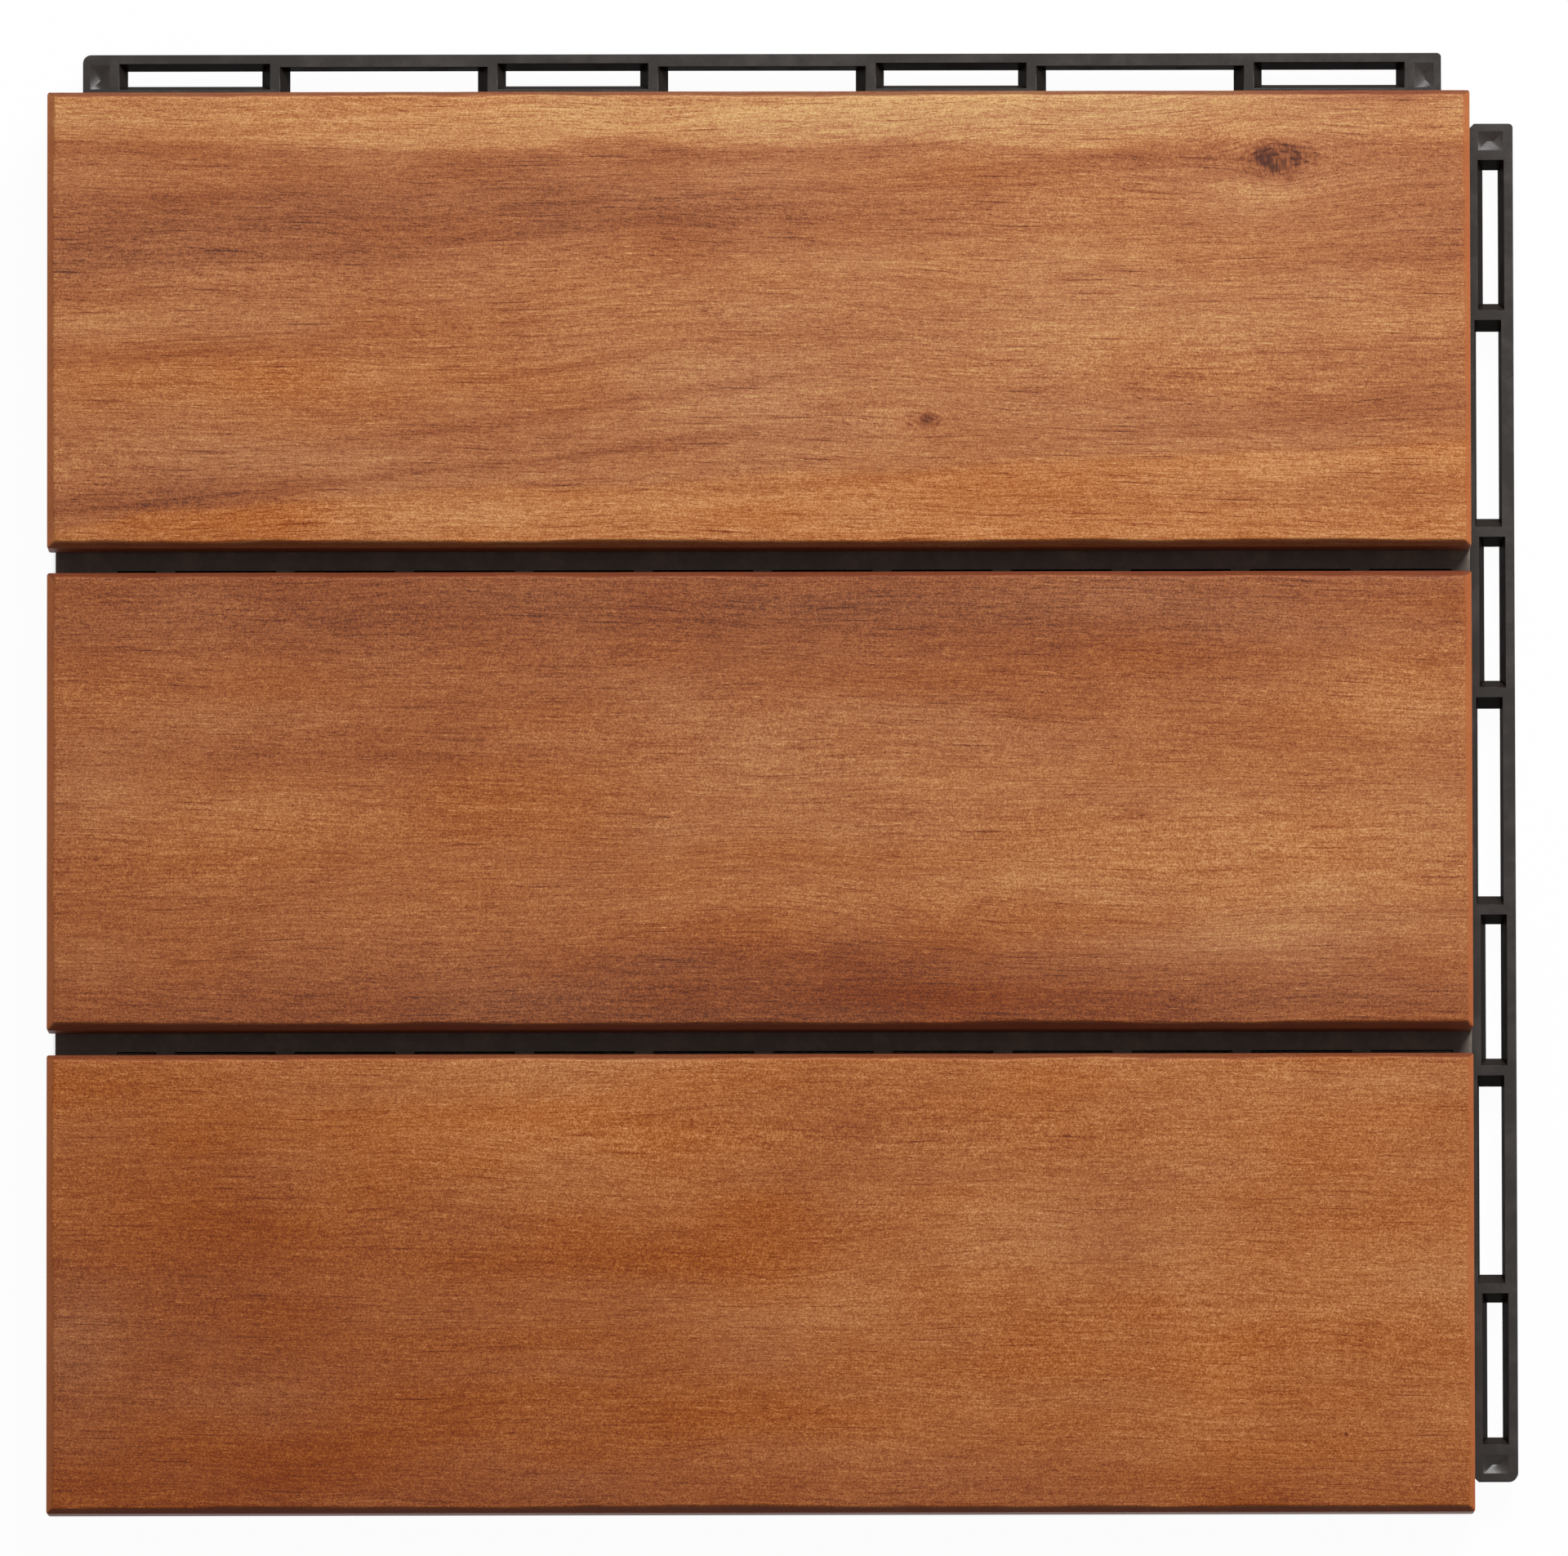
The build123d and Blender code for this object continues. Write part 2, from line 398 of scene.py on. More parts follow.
class StageSettings(bpy.types.PropertyGroup):
    """Camera, light and floor."""

    camera_distance: FloatProperty(
        name="Camera Distance", description="From the aim point", default=5.0, unit="LENGTH"
    )
    camera_tilt: FloatProperty(
        name="Camera Tilt",
        description="Lean of the view to the south",
        default=math.radians(4.6),
        unit="ROTATION",
    )
    camera_roll: FloatProperty(
        name="Camera Roll", description="Turn of the picture", default=math.radians(0.1), unit="ROTATION"
    )
    picture_width: FloatProperty(
        name="Picture Width", description="Width in view at the aim point", default=329.9 * MM, unit="LENGTH"
    )
    aim: FloatVectorProperty(
        name="Aim",
        description="Point at the picture's middle",
        subtype="XYZ",
        default=(4.4 * MM, 3.86 * MM, 24 * MM),
    )
    key_power: FloatProperty(
        name="Key Power", description="Power of the large soft light", default=50.0, unit="POWER"
    )
    key_size: FloatProperty(
        name="Key Size", description="Width of the soft light", default=1.1, unit="LENGTH"
    )
    key_distance: FloatProperty(
        name="Key Distance", description="From the tile to the soft light", default=2.0, unit="LENGTH"
    )
    key_elevation: FloatProperty(
        name="Key Elevation",
        description="Height of the soft light",
        default=math.radians(47),
        unit="ROTATION",
    )
    key_bearing: FloatProperty(
        name="Key Bearing",
        description="Turn of the soft light to the east",
        default=math.radians(20),
        unit="ROTATION",
    )
    sky: FloatProperty(name="Sky", description="Strength of the even light from all round", default=0.14)
    white_share: FloatProperty(
        name="White Share", description="Share of plain white in the floor that the camera sees", default=0.97
    )
    floor_reach: FloatProperty(
        name="Floor Reach", description="From the floor's middle to its edges", default=40.0, unit="LENGTH"
    )
    floor_shade: FloatProperty(
        name="Floor Shade",
        description="How far inside the slats' edge the floor under the tile starts to turn white",
        default=4 * MM,
        unit="LENGTH",
    )
    floor_colour: FloatVectorProperty(
        name="Floor", description="Pale floor", subtype="COLOR", default=(0.8, 0.8, 0.8)
    )


class Wire:
    """One value in a shader: arithmetic on it adds Math nodes to the finish that it belongs to."""

    def __init__(self, finish, socket):
        self.finish = finish
        self.socket = socket

    def math(self, operation, first, second=0.0):
        return self.finish.node("ShaderNodeMath", {"operation": operation}, {0: first, 1: second})

    def __add__(self, other):
        return self.math("ADD", self, other)

    __radd__ = __add__

    def __sub__(self, other):
        return self.math("SUBTRACT", self, other)

    def __rsub__(self, other):
        return self.math("SUBTRACT", other, self)

    def __mul__(self, other):
        return self.math("MULTIPLY", self, other)

    __rmul__ = __mul__

    def __truediv__(self, other):
        return self.math("DIVIDE", self, other)

    def __abs__(self):
        return self.math("ABSOLUTE", self)

    def root(self):
        return self.math("SQRT", self)

    def largest(self, other):
        return self.math("MAXIMUM", self, other)

    def rise(self, start, end):
        """0 up to start, 1 from end, smooth between."""
        settings = {"interpolation_type": "SMOOTHSTEP"}
        return self.finish.node("ShaderNodeMapRange", settings, {0: self, 1: start, 2: end, 3: 0.0, 4: 1.0})


class Finish:
    """The nodes of a material or world while they are being made."""

    def __init__(self, owner):
        self.owner = owner
        owner.use_nodes = True
        self.tree = owner.node_tree
        self.tree.nodes.clear()

    def node(self, kind, settings=None, sockets=None, out=None):
        """Adds one node: its settings, then its sockets' values or links. Gives the output asked for."""
        made = self.tree.nodes.new(kind)
        for key, value in (settings or {}).items():
            if key == "stops":
                self.set_stops(made.color_ramp, value)
            else:
                setattr(made, key, value)
        for key, value in (sockets or {}).items():
            if isinstance(value, Wire):
                self.tree.links.new(value.socket, made.inputs[key])
            else:
                made.inputs[key].default_value = value
        wires = {socket.name: Wire(self, socket) for socket in made.outputs if socket.enabled}
        if isinstance(out, tuple):
            return [wires[name] for name in out]
        return wires[out] if out else next(iter(wires.values()), None)

    @staticmethod
    def set_stops(ramp, stops):
        """Puts evenly spaced colours on a ramp."""
        while len(ramp.elements) < len(stops):
            ramp.elements.new(0.5)
        for index, colour in enumerate(stops):
            ramp.elements[index].position = index / (len(stops) - 1)
            ramp.elements[index].color = (*colour, 1.0)

    def place(self, middle):
        """Object coordinates in millimetres from a middle given in metres."""
        point = self.node("ShaderNodeTexCoord", out="Object")
        x, y, z = self.node("ShaderNodeSeparateXYZ", sockets={0: point}, out=("X", "Y", "Z"))
        return [(value - start) / MM for value, start in zip((x, y, z), middle)]

    def attribute(self, name):
        return self.node("ShaderNodeAttribute", {"attribute_name": name}, out="Fac")

    def vector(self, x, y, z):
        return self.node("ShaderNodeCombineXYZ", sockets={0: x, 1: y, 2: z})

    def noise(self, x, y, z, detail=2.0, roughness=0.5):
        """Smooth noise round 0.5 with features about one unit in size."""
        sockets = {"Vector": self.vector(x, y, z), "Scale": 1.0, "Detail": detail, "Roughness": roughness}
        return self.node("ShaderNodeTexNoise", {"noise_dimensions": "3D"}, sockets)

    def cells(self, x, y, z):
        """Distance to the nearest strewn point of a Voronoi pattern, and two random shares of that point."""
        settings = {"voronoi_dimensions": "3D", "feature": "F1"}
        sockets = {"Vector": self.vector(x, y, z), "Scale": 1.0, "Randomness": 1.0}
        gap, chance = self.node("ShaderNodeTexVoronoi", settings, sockets, out=("Distance", "Color"))
        return gap, *self.node("ShaderNodeSeparateColor", sockets={0: chance}, out=("Red", "Green"))

    def mix(self, share, first, second):
        settings = {"data_type": "RGBA", "blend_type": "MIX", "clamp_factor": False}
        return self.node("ShaderNodeMix", settings, {0: share, 6: first, 7: second})

    def seen(self):
        """1 for what the camera sees straight, mirrored or through glass, and 0 for what lights a surface."""
        rays = self.node("ShaderNodeLightPath", out=("Is Camera Ray", "Is Glossy Ray", "Is Transmission Ray"))
        return rays[0].largest(rays[1]).largest(rays[2])

    def skin(self, sockets):
        return self.node("ShaderNodeBsdfPrincipled", sockets=sockets)

    def blend(self, share, first, second):
        return self.node("ShaderNodeMixShader", sockets={0: share, 1: first, 2: second})

    def show(self, shader, output="ShaderNodeOutputMaterial"):
        """Ends the finish with a shader. Gives the material or world that it belongs to."""
        self.node(output, sockets={"Surface": shader})
        return self.owner


def rgba(colour):
    return (*colour, 1.0)


def mark_place(marks, along, across, depth):
    """Coordinates in which the marks are one unit long and wide, with their rows staggered."""
    return (along + across * marks.stagger) / marks.length, across / marks.width, depth / marks.width


def wood_finish(name, board, middle, wood):
    """Oiled hardwood: the mesh's broad tone, then streaks, fibres, specks, pores, flecks, veins and knots,
    painted shade on the long sides and stain on the ends.
    """
    paint = Finish(bpy.data.materials.new(name))
    along, across, up = paint.place(middle)
    flow = across + paint.attribute("drift")
    tilt = flow - along * board.ring_slope
    depth = up + board.seed * BOARD_STEP
    streak = paint.noise(*mark_place(STREAKS, along, tilt, depth), detail=2.0, roughness=0.6) - 0.5
    fibre = paint.noise(*mark_place(FIBRES, along, flow, depth), detail=2.0, roughness=0.7) - 0.5

    # The specks' noise is turned out of the picture's rows, and its level lies between whole numbers
    major, minor = SPECK_TURN
    slant, cross = along * major + flow * minor, flow * major - along * minor
    level = up / SPECK_SIZE + (board.seed + 0.5)
    speck = paint.noise(slant / SPECK_SIZE, cross / SPECK_SIZE, level, detail=1.0) - 0.5
    tone = paint.attribute("tone") + streak * (STREAK_LIFT * board.streaks)
    tone = tone + fibre * board.fibre + speck * board.speck

    gap, pick, glint = paint.cells(*mark_place(PORES, along, flow, depth))
    spot = 1.0 - gap.rise(0.15, 0.5)
    pore = spot * pick.rise(0.35, 0.75)
    fleck = spot * glint.rise(0.55, 0.9) * (1.0 - pick.rise(0.35, 0.5))
    tone = tone - pore * (PORE_DROP + STREAKED_PORE_DROP * board.streaks) + fleck * FLECK_LIFT

    gap, pick, _ = paint.cells(*mark_place(VEINS, along, flow, depth))
    vein = (1.0 - gap.rise(0.08, 0.42)) * pick.rise(0.6, 0.95)
    tone = tone - vein * (VEIN_DROP + STREAKED_VEIN_DROP * board.streaks)

    swirl_place = [value / SWIRL_SIZE for value in (along, across, depth)]
    swirl = paint.noise(*swirl_place, detail=2.0, roughness=0.45) - 0.5
    for knot in board.knots:
        run = (along - knot.along) / knot.half_length
        rise = (across - knot.across) / knot.half_width
        reach = (run * run + rise * rise).root() + swirl * KNOT_SWIRL
        tone = tone - (1.0 - reach.rise(0.1, 1.15)) * knot.depth

    shade = tone * 0.6 + 0.2
    tones = ("deep", "dark", "red", "orange", "gold", "pale")
    plain_stops = [getattr(wood, "plain_" + step) for step in tones]
    warm_stops = [getattr(wood, "warm_" + step) for step in tones]
    plain = paint.node("ShaderNodeValToRGB", {"stops": plain_stops}, {0: shade})
    warm = paint.node("ShaderNodeValToRGB", {"stops": warm_stops}, {0: shade})
    colour = paint.mix(paint.attribute("warmth"), plain, warm)
    # Painted shade: the long chamfers and sides darken towards the bottom, where shade falls between the
    # slats.
    colour = paint.mix(paint.attribute("side") * 0.8, colour, rgba(wood.painted_side_shade))
    colour = paint.mix(paint.attribute("end") * 0.7, colour, rgba(wood.end_stain))

    bump = paint.node("ShaderNodeBump", sockets={"Strength": 0.3, "Distance": 0.08 * MM, "Height": fibre})
    gloss = 0.52 + streak * 0.2 + pore * 0.15
    oiled = {"Base Color": colour, "Roughness": gloss, "Normal": bump, "Specular IOR Level": 0.2}
    return paint.show(paint.skin(oiled))


def plastic_finish(name, plastic, top):
    """Black moulded plastic with wear and dust: satin level faces with mould grain, matt upright walls."""
    paint = Finish(bpy.data.materials.new(name))
    x, y, z = paint.place((0.0, 0.0, top))
    cloud = paint.noise(x / CLOUD_SIZE, y / CLOUD_SIZE, z / CLOUD_SIZE, detail=4.0, roughness=0.6)
    grain = paint.noise(x / MOULD_GRAIN, y / MOULD_GRAIN, z / MOULD_GRAIN, detail=2.0)
    wear = cloud.rise(0.40, 0.75)
    settled = z.rise(-0.4, -0.05)
    colour = paint.mix(wear * 0.7, rgba(plastic.colour), rgba(plastic.bloom))
    colour = paint.mix(settled * (0.45 + wear * 0.4), colour, rgba(plastic.dust))
    bump = paint.node(
        "ShaderNodeBump", sockets={"Strength": 0.25, "Distance": 0.06 * MM, "Height": grain + cloud * 0.6}
    )
    gloss = 0.30 + wear * 0.2 + (grain - 0.5) * 0.1
    satin = paint.skin({"Base Color": colour, "Roughness": gloss, "Normal": bump, "Specular IOR Level": 0.3})
    matt = paint.skin({"Base Color": colour, "Roughness": 0.9, "Specular IOR Level": 0.0})
    return paint.show(paint.blend(paint.attribute("wall") * 0.92, satin, matt))


def zinc_finish(name, screw):
    """Zinc plated steel: slightly clouded, with fine turning marks."""
    paint = Finish(bpy.data.materials.new(name))
    x, y, z = paint.place((0.0, 0.0, 0.0))
    cloud = paint.noise(x / TARNISH_SIZE, y / TARNISH_SIZE, z / TARNISH_SIZE, detail=3.0)
    turning = paint.noise(x / TURNING_LENGTH, y / TURNING_LENGTH, z / TURNING_PITCH, detail=1.0)
    shade = paint.mix(cloud.rise(0.3, 0.7) * 0.5, rgba(screw.zinc), rgba([c * 0.6 for c in screw.zinc]))
    gloss = 0.28 + cloud * 0.18 + (turning - 0.5) * 0.1
    return paint.show(paint.skin({"Base Color": shade, "Roughness": gloss, "Metallic": 1.0}))


def soft_noise(u, v, seed):
    """Smooth noise from -1 to 1: random values at whole numbers of u and v, blended by 3f^2 - 2f^3."""
    lattice = np.random.default_rng(seed).uniform(-1.0, 1.0, (LATTICE, LATTICE))
    column, row = np.floor(u).astype(int), np.floor(v).astype(int)
    right, up = u - column, v - row
    right, up = right * right * (3 - 2 * right), up * up * (3 - 2 * up)
    west, east = column % LATTICE, (column + 1) % LATTICE
    south, north = row % LATTICE, (row + 1) % LATTICE
    low = lattice[west, south] * (1 - right) + lattice[east, south] * right
    high = lattice[west, north] * (1 - right) + lattice[east, north] * right
    return low * (1 - up) + high * up


def layered_noise(layers, along, across, seed):
    """Sum of layers of soft noise, the strength of each times soft_noise(along / length, across / width)."""
    return sum(
        layer.lift * soft_noise(along / layer.length, across / layer.width, seed + index)
        for index, layer in enumerate(layers)
    )


def smooth_rise(value, start, end):
    """0 up to start, 1 from end, smooth between."""
    share = np.clip((value - start) / (end - start), 0.0, 1.0)
    return share * share * (3 - 2 * share)


def patch_lift(patch, along, flow):
    """What a patch adds round its middle line, which may slope: lift * exp(-(run^2 + rise^2))."""
    run = (along - patch.along) / patch.half_length
    rise = (flow - patch.across - (along - patch.along) * patch.slope) / patch.half_width
    return patch.lift * np.exp(-(run**2 + rise**2))


def grain_maps(board, along, across):
    """Broad tone, sideways drift and warmth of the grain at points of a slat, in millimetres from its middle.

    The drift is soft noise stretched along the slat, and a knot pushes the grain aside by
    -depth * half_width * rise * exp(-(run^2 / 5 + rise^2 / 3)). The tone adds the board's patches, then
    broad rings and mottle, and the sapwood beyond its lines. The warmth adds the board's tints, the sapwood
    along the south edge and soft noise.
    """
    drift = layered_noise(DRIFT_LAYERS, along, across, board.seed)
    for knot in board.knots:
        run = (along - knot.along) / knot.half_length
        rise = (across - knot.across) / knot.half_width
        drift = drift - knot.depth * knot.half_width * rise * np.exp(-(run**2 / 5 + rise**2 / 3))
    flow = across + drift

    wander = layered_noise(SAPWOOD_LAYERS, along, across, board.seed + 6)
    north_line = board.north_sapwood
    north = smooth_rise(across + wander, north_line - SAPWOOD_BLUR, north_line + SAPWOOD_BLUR)
    south_line = board.south_sapwood + along * board.ring_slope - 3.0 * smooth_rise(-along, 128, 150)
    south = smooth_rise(south_line - across + 0.6 * wander, -SAPWOOD_BLUR, SAPWOOD_BLUR)
    tone = board.tone + np.maximum(NORTH_SAPWOOD_LIFT * north, SOUTH_SAPWOOD_LIFT * south)
    tone = tone + sum(patch_lift(patch, along, flow) for patch in board.patches)
    tilt = flow - along * board.ring_slope
    rings = layered_noise(RING_LAYERS, along, tilt, board.seed + 2)
    mottle = layered_noise(MOTTLE_LAYERS, along, across, board.seed + 4)
    tone = tone + RING_LIFT * board.streaks * rings + MOTTLE_LIFT * mottle
    warmth = board.warmth + south + sum(patch_lift(tint, along, flow) for tint in board.tints)
    warmth = warmth + layered_noise(WARMTH_LAYERS, along, flow, board.seed + 8)
    return tone, drift, warmth


# Shares of the chamfer's reach at which a slat's grid has lines, closest together at the ridge
CHAMFER_LINES = np.array([0.0, 0.12, 0.3, 0.6, 0.85, 0.94, 1.0, 1.06, 1.15, 1.4])


def edge_waver(place, seed):
    """Unevenness of a sanded edge along its length in metres, from long and short soft noise."""
    run = place / MM
    return layered_noise(EDGE_LAYERS, run, 0 * run, seed)


def slat_lines(low, high, first_reach, last_reach, inner):
    """Grid lines from one edge to the other, one column for each place along the edges.

    The chamfer's lines lie at their share of the chamfer's reach from the edge, and the inner lines stay put.
    """
    first = low + CHAMFER_LINES[:, None] * first_reach[None, :]
    last = high - CHAMFER_LINES[::-1, None] * last_reach[None, :]
    return np.concatenate([first, np.broadcast_to(inner[:, None], (len(inner), len(first_reach))), last])


def chamfer_drop(count, first_reach, last_reach):
    """How far each grid line lies below the top: reach * (1 - share), with the ridge eased by a parabola."""
    ease = 0.15
    bend = np.clip(1 - CHAMFER_LINES + ease, 0.0, 2 * ease) ** 2 / (4 * ease)
    drop = np.where(CHAMFER_LINES < 1 - ease, 1 - CHAMFER_LINES, bend)
    first, last = drop[:, None] * first_reach[None, :], drop[::-1, None] * last_reach[None, :]
    flat = np.zeros((count - 2 * len(drop), len(first_reach)))
    return np.concatenate([first, flat, last])


def slat_top(low, high, sizes, seed):
    """The top of a slat as a grid over its plan, an array of points (line along x, line along y, 3).

    Each edge's chamfer has its own wavering reach. The height is the top less the deeper of the two
    chamfer drops, so that the chamfers meet in hips, and the corners are drawn in to a small radius.
    """
    reach = sizes.chamfer
    inset = GRID_START * reach
    inner_x = np.arange(low.x + inset, high.x - inset, GRID_STEP_ALONG)
    inner_y = np.arange(low.y + inset, high.y - inset, GRID_STEP_ACROSS)
    even = np.array([reach])
    plain_x = slat_lines(low.x, high.x, even, even, inner_x)[:, 0]
    plain_y = slat_lines(low.y, high.y, even, even, inner_y)[:, 0]
    wave = sizes.sanding_wave
    south = reach * (1 + wave * edge_waver(plain_x, seed))
    north = reach * (0.9 + wave * edge_waver(plain_x, seed + 20))
    west = reach * (1.1 + wave * edge_waver(plain_y, seed + 40))
    east = reach * (0.95 + wave * edge_waver(plain_y, seed + 60))
    x = slat_lines(low.x, high.x, west, east, inner_x)
    y = slat_lines(low.y, high.y, south, north, inner_y).T
    drop = np.maximum(chamfer_drop(len(x), west, east), chamfer_drop(len(plain_y), south, north).T)
    radius = sizes.corner_radius
    middle_x, middle_y = (low.x + high.x) / 2, (low.y + high.y) / 2
    over_x = np.maximum(np.abs(x - middle_x) - (high.x - low.x) / 2 + radius, 0.0)
    over_y = np.maximum(np.abs(y - middle_y) - (high.y - low.y) / 2 + radius, 0.0)
    draw = np.minimum(radius / np.maximum(np.hypot(over_x, over_y), 1e-9), 1.0) - 1.0
    x = x + np.sign(x - middle_x) * over_x * draw
    y = y + np.sign(y - middle_y) * over_y * draw
    return np.stack([x, y, high.z - drop], axis=-1)


def grid_quads(rows, columns, start=0, closed=False):
    """Quads (i, j), (i+1, j), (i+1, j+1), (i, j+1) of a grid. A closed grid joins its last column."""
    i, j = np.meshgrid(np.arange(rows - 1), np.arange(columns if closed else columns - 1), indexing="ij")
    k = (j + 1) % columns
    here, beyond = i * columns, (i + 1) * columns
    quads = np.stack([here + j, beyond + j, beyond + k, here + k], axis=-1)
    return (quads.reshape(-1, 4) + start).tolist()


def slat_mesh(name, low, high, sizes, seed, axes, pilot_top):
    """A slat: its top grid, sides that drop to an eased bottom, and blind pilot holes round the screws."""
    top = slat_top(low, high, sizes, seed)
    rows, columns = top.shape[:2]
    index = np.arange(rows * columns).reshape(rows, columns)
    rim = np.concatenate([index[:, 0], index[-1, 1:], index[-2::-1, -1], index[0, -2:0:-1]])
    flat = top.reshape(-1, 3)
    side = flat[rim].copy()
    side[:, 2] = low.z + sizes.bottom_ease
    foot = side.copy()
    foot[:, 0] = np.clip(foot[:, 0], low.x + sizes.bottom_ease, high.x - sizes.bottom_ease)
    foot[:, 1] = np.clip(foot[:, 1], low.y + sizes.bottom_ease, high.y - sizes.bottom_ease)
    foot[:, 2] = low.z
    points = [flat, flat[rim], side, foot]
    faces = grid_quads(rows, columns) + grid_quads(3, len(rim), start=len(flat), closed=True)
    turn = np.linspace(0.0, 2 * np.pi, PILOT_SIDES, endpoint=False)
    around = sizes.pilot_radius * np.stack([np.cos(turn), np.sin(turn)], axis=-1)
    for axis in axes:
        start = sum(len(group) for group in points)
        points += [np.insert(axis + around, 2, level, axis=1) for level in (low.z, pilot_top)]
        faces += grid_quads(2, len(turn), start=start, closed=True)
        faces.append(list(range(start + len(turn), start + 2 * len(turn))))
    mesh = bpy.data.meshes.new(name)
    mesh.from_pydata(np.concatenate(points).tolist(), [], faces)
    shape = bmesh.new()
    shape.from_mesh(mesh)
    bmesh.ops.remove_doubles(shape, verts=shape.verts, dist=1e-7)
    open_edges = [edge for edge in shape.edges if edge.is_boundary]
    bmesh.ops.triangle_fill(shape, edges=open_edges, normal=(0, 0, -1))
    bmesh.ops.recalc_face_normals(shape, faces=shape.faces)
    shape.to_mesh(mesh)
    shape.free()
    mesh.shade_smooth()
    mesh.set_sharp_from_angle(angle=SHARP_ANGLE)
    return mesh


def paint_slat(mesh, board, low, high, chamfer):
    """Keeps the wood's maps on the mesh's points: tone, grain drift, warmth, painted side shade and end
    stain.

    The painted shade and the stain rise from 0 at the chamfer's ridge to 1 a third of the way down. Each
    point's mark belongs to the nearer edge: painted shade on the long sides, stain on the ends.
    """
    places = np.empty(len(mesh.vertices) * 3)
    mesh.vertices.foreach_get("co", places)
    x, y, z = places.reshape(-1, 3).T
    along = (x - (low.x + high.x) / 2) / MM
    across = (y - (low.y + high.y) / 2) / MM
    tone, drift, warmth = grain_maps(board, along, across)
    # Painted shade on the long sides and real stain on the ends share this rise down the chamfer.
    stain_and_shade = np.clip((high.z - z) / chamfer * 3, 0.0, 1.0)
    past_end = np.abs(along) - (high.x - low.x) / 2 / MM
    past_side = np.abs(across) - (high.y - low.y) / 2 / MM
    nearer_end = past_end > past_side
    stains_and_shade = {"side": stain_and_shade * ~nearer_end, "end": stain_and_shade * nearer_end}
    maps = {"tone": tone, "drift": drift, "warmth": warmth, **stains_and_shade}
    for name, values in maps.items():
        mesh.attributes.new(name, "FLOAT", "POINT").data.foreach_set("value", values)


def screw_axes(node):
    """Middles of the screws in plan, from the flat ends of their shanks, and the height of those ends."""
    places = np.empty(len(node.data.vertices) * 3)
    node.data.vertices.foreach_get("co", places)
    places = places.reshape(-1, 3)
    top = places[:, 2].max()
    ends = places[places[:, 2] > top - LEVEL_SLACK, :2]
    axes = []
    while len(ends):
        near = np.hypot(*(ends - ends[0]).T) < SCREW_REACH
        axes.append((ends[near].min(axis=0) + ends[near].max(axis=0)) / 2)
        ends = ends[~near]
    return axes, top


def rounded_base(name, node, edge_line, edge_round):
    """A merged copy of the base whose ladder rims, the raised edges beyond the slats, are rounded.

    Each face keeps how matt it is: a smooth rise of 1 - |height of its normal| for the walls, and no
    less than SHADED_MATT for the upward faces in the slats' shade.
    """
    shape = bmesh.new()
    shape.from_mesh(node.data)
    bmesh.ops.remove_doubles(shape, verts=shape.verts, dist=1e-6)
    bmesh.ops.dissolve_limit(shape, angle_limit=math.radians(1), verts=shape.verts, edges=shape.edges)
    rims = []
    for edge in shape.edges:
        outside = all(max(point.co.x, point.co.y) > edge_line for point in edge.verts)
        if outside and edge.is_convex and edge.calc_face_angle() > math.radians(20):
            rims.append(edge)
    top = max(point.co.z for edge in rims for point in edge.verts)
    rims = [edge for edge in rims if all(point.co.z > top - LEVEL_SLACK for point in edge.verts)]
    bmesh.ops.bevel(
        shape, geom=rims, offset=edge_round, segments=2, profile=0.5, affect="EDGES", clamp_overlap=True
    )
    bmesh.ops.recalc_face_normals(shape, faces=shape.faces)
    mesh = bpy.data.meshes.new(name)
    shape.to_mesh(mesh)
    shape.free()
    facing, centre = np.empty((2, len(mesh.polygons) * 3))
    mesh.polygons.foreach_get("normal", facing)
    mesh.polygons.foreach_get("center", centre)
    (x, y, _), height = centre.reshape(-1, 3).T, facing[2::3]
    shaded = (np.maximum(np.abs(x), np.abs(y)) < edge_line) & (height > 0.5)
    wall = np.maximum(smooth_rise(1 - np.abs(height), 0.2, 0.6), SHADED_MATT * shaded)
    mesh.attributes.new("wall", "FLOAT", "FACE").data.foreach_set("value", wall)
    mesh.shade_smooth()
    mesh.set_sharp_from_angle(angle=SHARP_ANGLE)
    return mesh


def add_object(name, data):
    """Puts a mesh, a light or a camera into the scene."""
    made = bpy.data.objects.new(name, data)
    bpy.context.scene.collection.objects.link(made)
    return made


def new_piece(name, mesh, material, slot, *nodes):
    """Puts a mesh into the scene as one piece of the tile."""
    piece = add_object(name, mesh)
    mesh.materials.clear()
    mesh.materials.append(material)
    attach(piece, "root")
    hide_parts(*nodes)
    return piece


class FLOORTILE_OT_slats(bpy.types.Operator):
    """Build the three hardwood slats with their sanded chamfers"""

    bl_idname = "floor_tile.slats"
    bl_label = "Slats"

    def execute(self, context):
        sizes = context.scene.tile_slats
        axes, screw_top = screw_axes(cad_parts["slat_screws"])
        for board in BOARDS:
            low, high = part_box(board.node)
            own = [axis for axis in axes if low.y < axis[1] < high.y]
            name = board.node + "_board"
            mesh = slat_mesh(name, low, high, sizes, board.seed, own, screw_top + PILOT_REST)
            paint_slat(mesh, board, low, high, sizes.chamfer)
            middle = Vector(((low.x + high.x) / 2, (low.y + high.y) / 2, high.z))
            wood = wood_finish(board.node + "_wood", board, middle, context.scene.tile_wood)
            new_piece(name, mesh, wood, "slat_wood", board.node)
        return {"FINISHED"}


class FLOORTILE_OT_base(bpy.types.Operator):
    """Round the moulded base's ladder rims and finish it with black plastic"""

    bl_idname = "floor_tile.base"
    bl_label = "Base"

    def execute(self, context):
        plastic = context.scene.tile_plastic
        edge_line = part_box("middle_slat")[1].x + EDGE_SLACK
        mesh = rounded_base("base_moulding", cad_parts["base_grid"], edge_line, plastic.edge_round)
        skin = plastic_finish("black_plastic", plastic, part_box("base_grid")[1].z)
        base = new_piece("base_moulding", mesh, skin, "base_plastic", "base_grid")
        flatten = base.modifiers.new("flat_faces", "WEIGHTED_NORMAL")
        flatten.keep_sharp = True
        return {"FINISHED"}


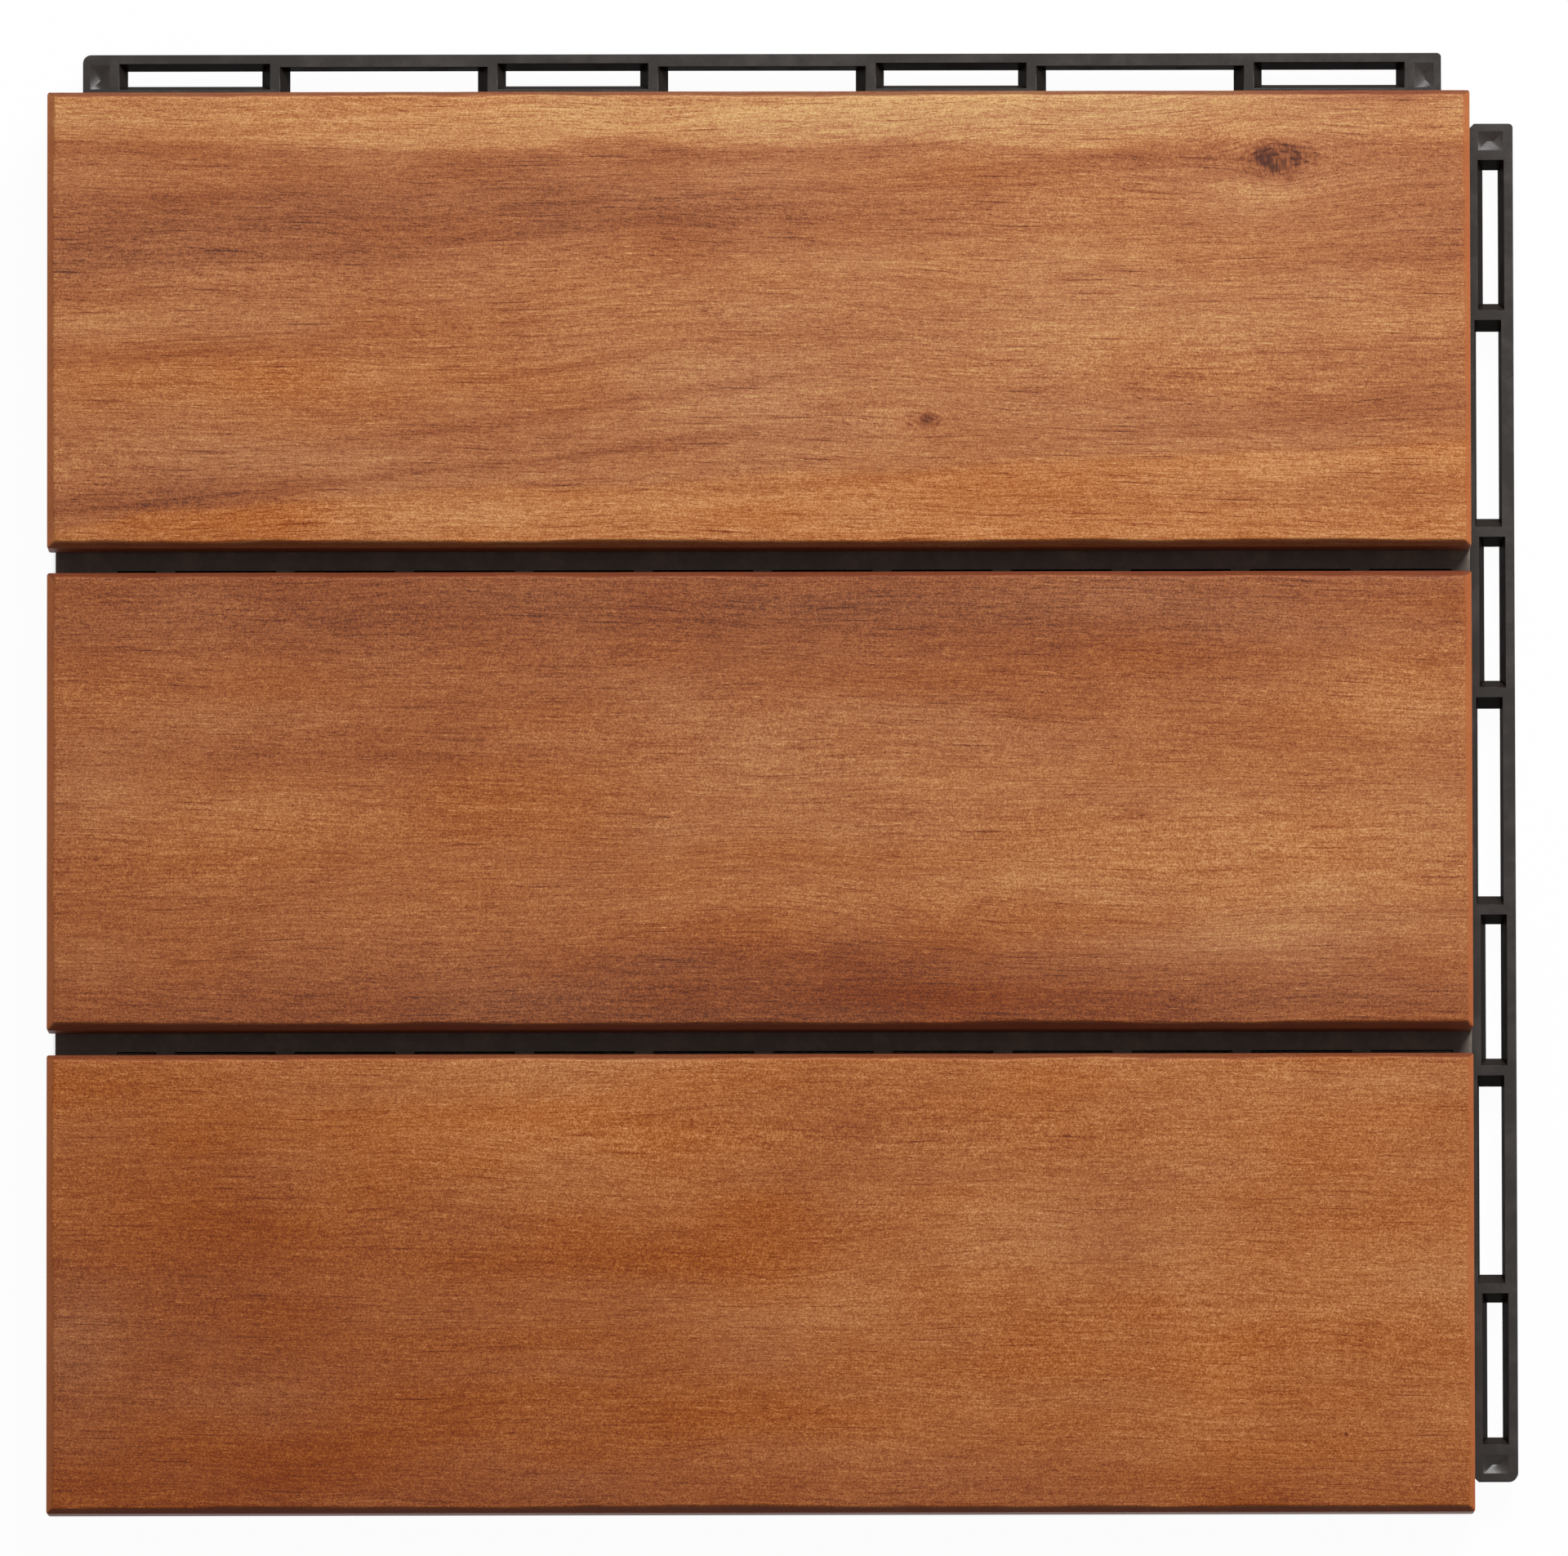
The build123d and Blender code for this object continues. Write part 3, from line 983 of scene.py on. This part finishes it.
class FLOORTILE_OT_screws(bpy.types.Operator):
    """Finish the screws with zinc plate"""

    bl_idname = "floor_tile.screws"
    bl_label = "Screws"

    def execute(self, context):
        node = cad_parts["slat_screws"]
        node.material_slots[0].material = zinc_finish("zinc_plate", context.scene.tile_screws)
        return {"FINISHED"}


class FLOORTILE_OT_stage(bpy.types.Operator):
    """Set up the floor, the light and the camera"""

    bl_idname = "floor_tile.stage"
    bl_label = "Stage"

    def execute(self, context):
        stage = context.scene.tile_stage
        context.scene.view_settings.view_transform = "Standard"
        self.add_floor(stage)
        self.add_key(stage)
        self.add_sky(context, stage)
        self.add_camera(context, stage)
        return {"FINISHED"}

    def add_floor(self, stage):
        """A wide floor that shows white to the camera and still takes the tile's shadow."""
        reach = stage.floor_reach
        mesh = bpy.data.meshes.new("floor")
        corners = [(-reach, -reach, 0), (reach, -reach, 0), (reach, reach, 0), (-reach, reach, 0)]
        mesh.from_pydata(corners, [], [(0, 1, 2, 3)])
        floor = add_object("floor", mesh)
        paint = Finish(bpy.data.materials.new("pale_floor"))
        low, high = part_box("middle_slat")
        x, y, _ = paint.place(((low.x + high.x) / 2, (low.y + high.y) / 2, 0.0))
        half = (high.x - low.x) / 2
        clear = abs(x).largest(abs(y)).rise((half - stage.floor_shade) / MM, half / MM)
        white = paint.node("ShaderNodeEmission", sockets={"Color": WHITE, "Strength": 1.0})
        matt = paint.node("ShaderNodeBsdfDiffuse", sockets={"Color": rgba(stage.floor_colour)})
        share = paint.seen() * clear * stage.white_share
        mesh.materials.append(paint.show(paint.blend(share, matt, white)))

    def add_key(self, stage):
        """One large soft light from the north and a little east."""
        lamp = bpy.data.lights.new("key", "AREA")
        lamp.energy = stage.key_power
        lamp.shape = "DISK"
        lamp.size = stage.key_size
        key = add_object("key", lamp)
        elevation, bearing = stage.key_elevation, stage.key_bearing
        level = math.cos(elevation)
        towards = Vector((level * math.sin(bearing), level * math.cos(bearing), math.sin(elevation)))
        key.location = towards * stage.key_distance
        key.rotation_mode = "QUATERNION"
        key.rotation_quaternion = towards.to_track_quat("Z", "Y")

    def add_sky(self, context, stage):
        """Even light from all round, which the camera sees as white."""
        context.scene.world = bpy.data.worlds.new("studio")
        paint = Finish(context.scene.world)
        even = paint.node("ShaderNodeBackground", sockets={"Color": WHITE, "Strength": stage.sky})
        white = paint.node("ShaderNodeBackground", sockets={"Color": WHITE, "Strength": 1.0})
        paint.show(paint.blend(paint.seen(), even, white), "ShaderNodeOutputWorld")

    def add_camera(self, context, stage):
        """A long lens almost straight above, leaning to the south."""
        lens = bpy.data.cameras.new("camera")
        lens.sensor_width = 36.0
        lens.lens = lens.sensor_width * stage.camera_distance / stage.picture_width
        lens.clip_start = 0.1
        lens.clip_end = 100.0
        camera = add_object("camera", lens)
        lean, roll = stage.camera_tilt, stage.camera_roll
        back = Vector((0.0, -math.sin(lean), math.cos(lean)))
        level = Vector((1.0, 0.0, 0.0))
        upright = back.cross(level)
        right = level * math.cos(roll) - upright * math.sin(roll)
        above = upright * math.cos(roll) + level * math.sin(roll)
        turn = Matrix((right, above, back)).transposed().to_4x4()
        camera.matrix_world = Matrix.Translation(Vector(stage.aim) + back * stage.camera_distance) @ turn
        context.scene.camera = camera


class FLOORTILE_PT_panel(bpy.types.Panel):
    """Buttons and settings of the floor tile"""

    bl_idname = "FLOORTILE_PT_panel"
    bl_label = "Floor Tile"
    bl_space_type = "VIEW_3D"
    bl_region_type = "UI"
    bl_category = "Floor Tile"

    def draw(self, context):
        for maker in MAKERS:
            self.layout.operator(maker.bl_idname)
        for name in SETTINGS:
            group = getattr(context.scene, name)
            box = self.layout.box()
            box.label(text=name.replace("_", " ").title())
            for key in group.__annotations__:
                box.prop(group, key)


SETTINGS = {
    "tile_slats": SlatSettings,
    "tile_wood": WoodSettings,
    "tile_plastic": PlasticSettings,
    "tile_screws": ScrewSettings,
    "tile_stage": StageSettings,
}
MAKERS = (FLOORTILE_OT_slats, FLOORTILE_OT_base, FLOORTILE_OT_screws, FLOORTILE_OT_stage)
CLASSES = (*SETTINGS.values(), *MAKERS, FLOORTILE_PT_panel)


def register():
    for group in CLASSES:
        bpy.utils.register_class(group)
    for name, group in SETTINGS.items():
        setattr(bpy.types.Scene, name, PointerProperty(type=group))


def unregister():
    for name in SETTINGS:
        delattr(bpy.types.Scene, name)
    for group in reversed(CLASSES):
        bpy.utils.unregister_class(group)


def main():
    register()
    bpy.ops.floor_tile.slats()
    bpy.ops.floor_tile.base()
    bpy.ops.floor_tile.screws()
    bpy.ops.floor_tile.stage()


if __name__ == "__main__":
    main()
